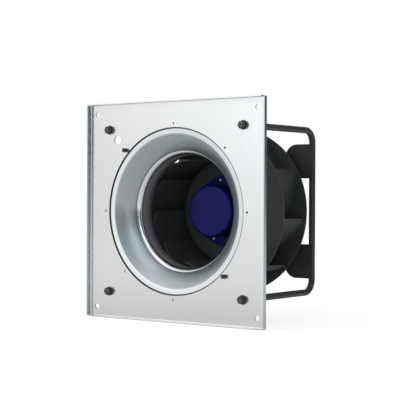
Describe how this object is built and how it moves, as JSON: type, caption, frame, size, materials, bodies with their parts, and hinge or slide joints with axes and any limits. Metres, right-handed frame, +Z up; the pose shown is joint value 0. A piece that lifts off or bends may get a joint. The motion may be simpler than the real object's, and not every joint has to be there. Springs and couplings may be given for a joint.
{
  "type": "plug fan",
  "caption": "Plug fan with a square wall plate, bell-mouth inlet nozzle, backward-curved impeller on an external-rotor motor, and bent-bar hoops that carry the motor.",
  "frame": {"origin": "on the fan axis at the back face of the wall plate, the centre of the corner bolt pattern", "axes": "+Y along the fan axis from the inlet towards the motor, +X to the right seen from the inlet, +Z up"},
  "size_m": [0.402, 0.2875, 0.402],
  "materials": {
    "galvanised_sheet": "satin",
    "black_painted_steel": "satin",
    "black_fastener_steel": "satin",
    "bright_fastener_steel": "satin",
    "black_impeller_plastic": "matte",
    "black_gland_plastic": "matte",
    "blue_rotor_paint": "satin",
    "cast_housing": "satin",
    "bearing_steel": "polished",
    "shaft_steel": "satin",
    "laminated_steel": "matte",
    "copper_winding": "satin",
    "magnet_block": "matte",
    "board_laminate": "satin",
    "seal_rubber": "matte"
  },
  "bodies": {
    "frame": {"nozzle_plate": "galvanised_sheet", "inlet_nozzle": "galvanised_sheet", "nozzle_screws": "black_fastener_steel", "nozzle_nuts": "black_fastener_steel", "left_hoop": "black_painted_steel", "right_hoop": "black_painted_steel", "hoop_washers": "black_fastener_steel", "hoop_nuts": "black_fastener_steel", "motor_carrier": "black_painted_steel", "carrier_bolts": "bright_fastener_steel", "motor_housing": "cast_housing", "bearing_tube": "cast_housing", "base_screws": "bright_fastener_steel", "stator_core": "laminated_steel", "stator_windings": "copper_winding", "front_bearing_outer": "bearing_steel", "rear_bearing_outer": "bearing_steel", "bearing_balls": "bearing_steel", "circuit_board": "board_laminate", "cover_seal": "seal_rubber", "rear_cover": "cast_housing", "cover_screws": "bright_fastener_steel", "cable_gland": "black_gland_plastic"},
    "impeller": {"rotor_cup": "blue_rotor_paint", "rotor_magnets": "magnet_block", "shaft": "shaft_steel", "front_bearing_inner": "bearing_steel", "rear_bearing_inner": "bearing_steel", "retaining_ring": "shaft_steel", "rotor_screws": "bright_fastener_steel", "impeller_backplate": "black_impeller_plastic", "impeller_shroud": "black_impeller_plastic", "blade_1": "black_impeller_plastic", "blade_2": "black_impeller_plastic", "blade_3": "black_impeller_plastic", "blade_4": "black_impeller_plastic", "blade_5": "black_impeller_plastic", "blade_6": "black_impeller_plastic", "blade_7": "black_impeller_plastic", "blade_8": "black_impeller_plastic", "blade_9": "black_impeller_plastic", "blade_10": "black_impeller_plastic"}
  },
  "joints": [
    {"name": "impeller_spin", "type": "hinge", "parent": "frame", "child": "impeller", "pos_m": [0, 0, 0], "axis": [0, 1, 0], "continuous": true}
  ]
}
